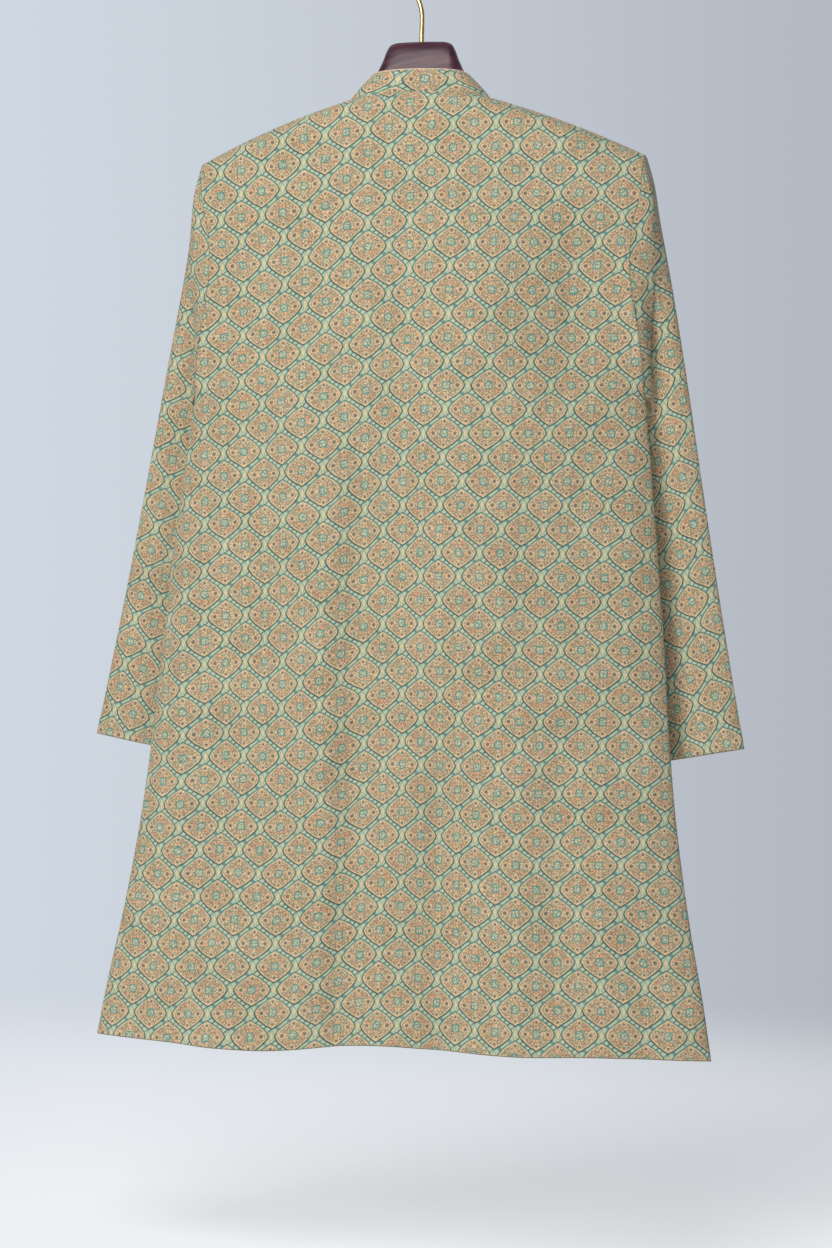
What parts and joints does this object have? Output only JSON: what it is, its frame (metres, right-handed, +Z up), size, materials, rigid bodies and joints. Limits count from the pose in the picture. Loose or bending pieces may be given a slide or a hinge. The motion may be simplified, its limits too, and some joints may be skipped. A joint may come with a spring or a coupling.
{
  "type": "kurta on a wooden hanger",
  "caption": "Knee-length long-sleeved kurta with a standing band collar and an all-over trellis print, hanging flat on a contoured wooden hanger with a wire hook.",
  "frame": {"origin": "inner top of the hook's loop, where a rail holds the hanger", "axes": "+Z up along the hanging garment, +Y towards the garment's front, +X to the right when its back is looked at"},
  "size_m": [0.677, 0.116, 1.1251],
  "materials": {
    "printed_cotton": "matte plain-weave cotton with a fine printed trellis in cream, peach, teal and pale green",
    "button": "soft gloss, pale horn colour",
    "hanger_wood": "dark reddish-brown stain under gloss lacquer",
    "hook_wire": "polished brass-coloured wire"
  },
  "bodies": {
    "root": {"back": "printed_cotton", "front": "printed_cotton", "sleeve_left": "printed_cotton", "sleeve_right": "printed_cotton", "collar": "printed_cotton", "placket_under": "printed_cotton", "placket_top": "printed_cotton", "button_1": "button", "button_2": "button", "button_3": "button", "button_4": "button", "hanger_wood": "hanger_wood", "hanger_hook": "hook_wire"}
  },
  "joints": []
}
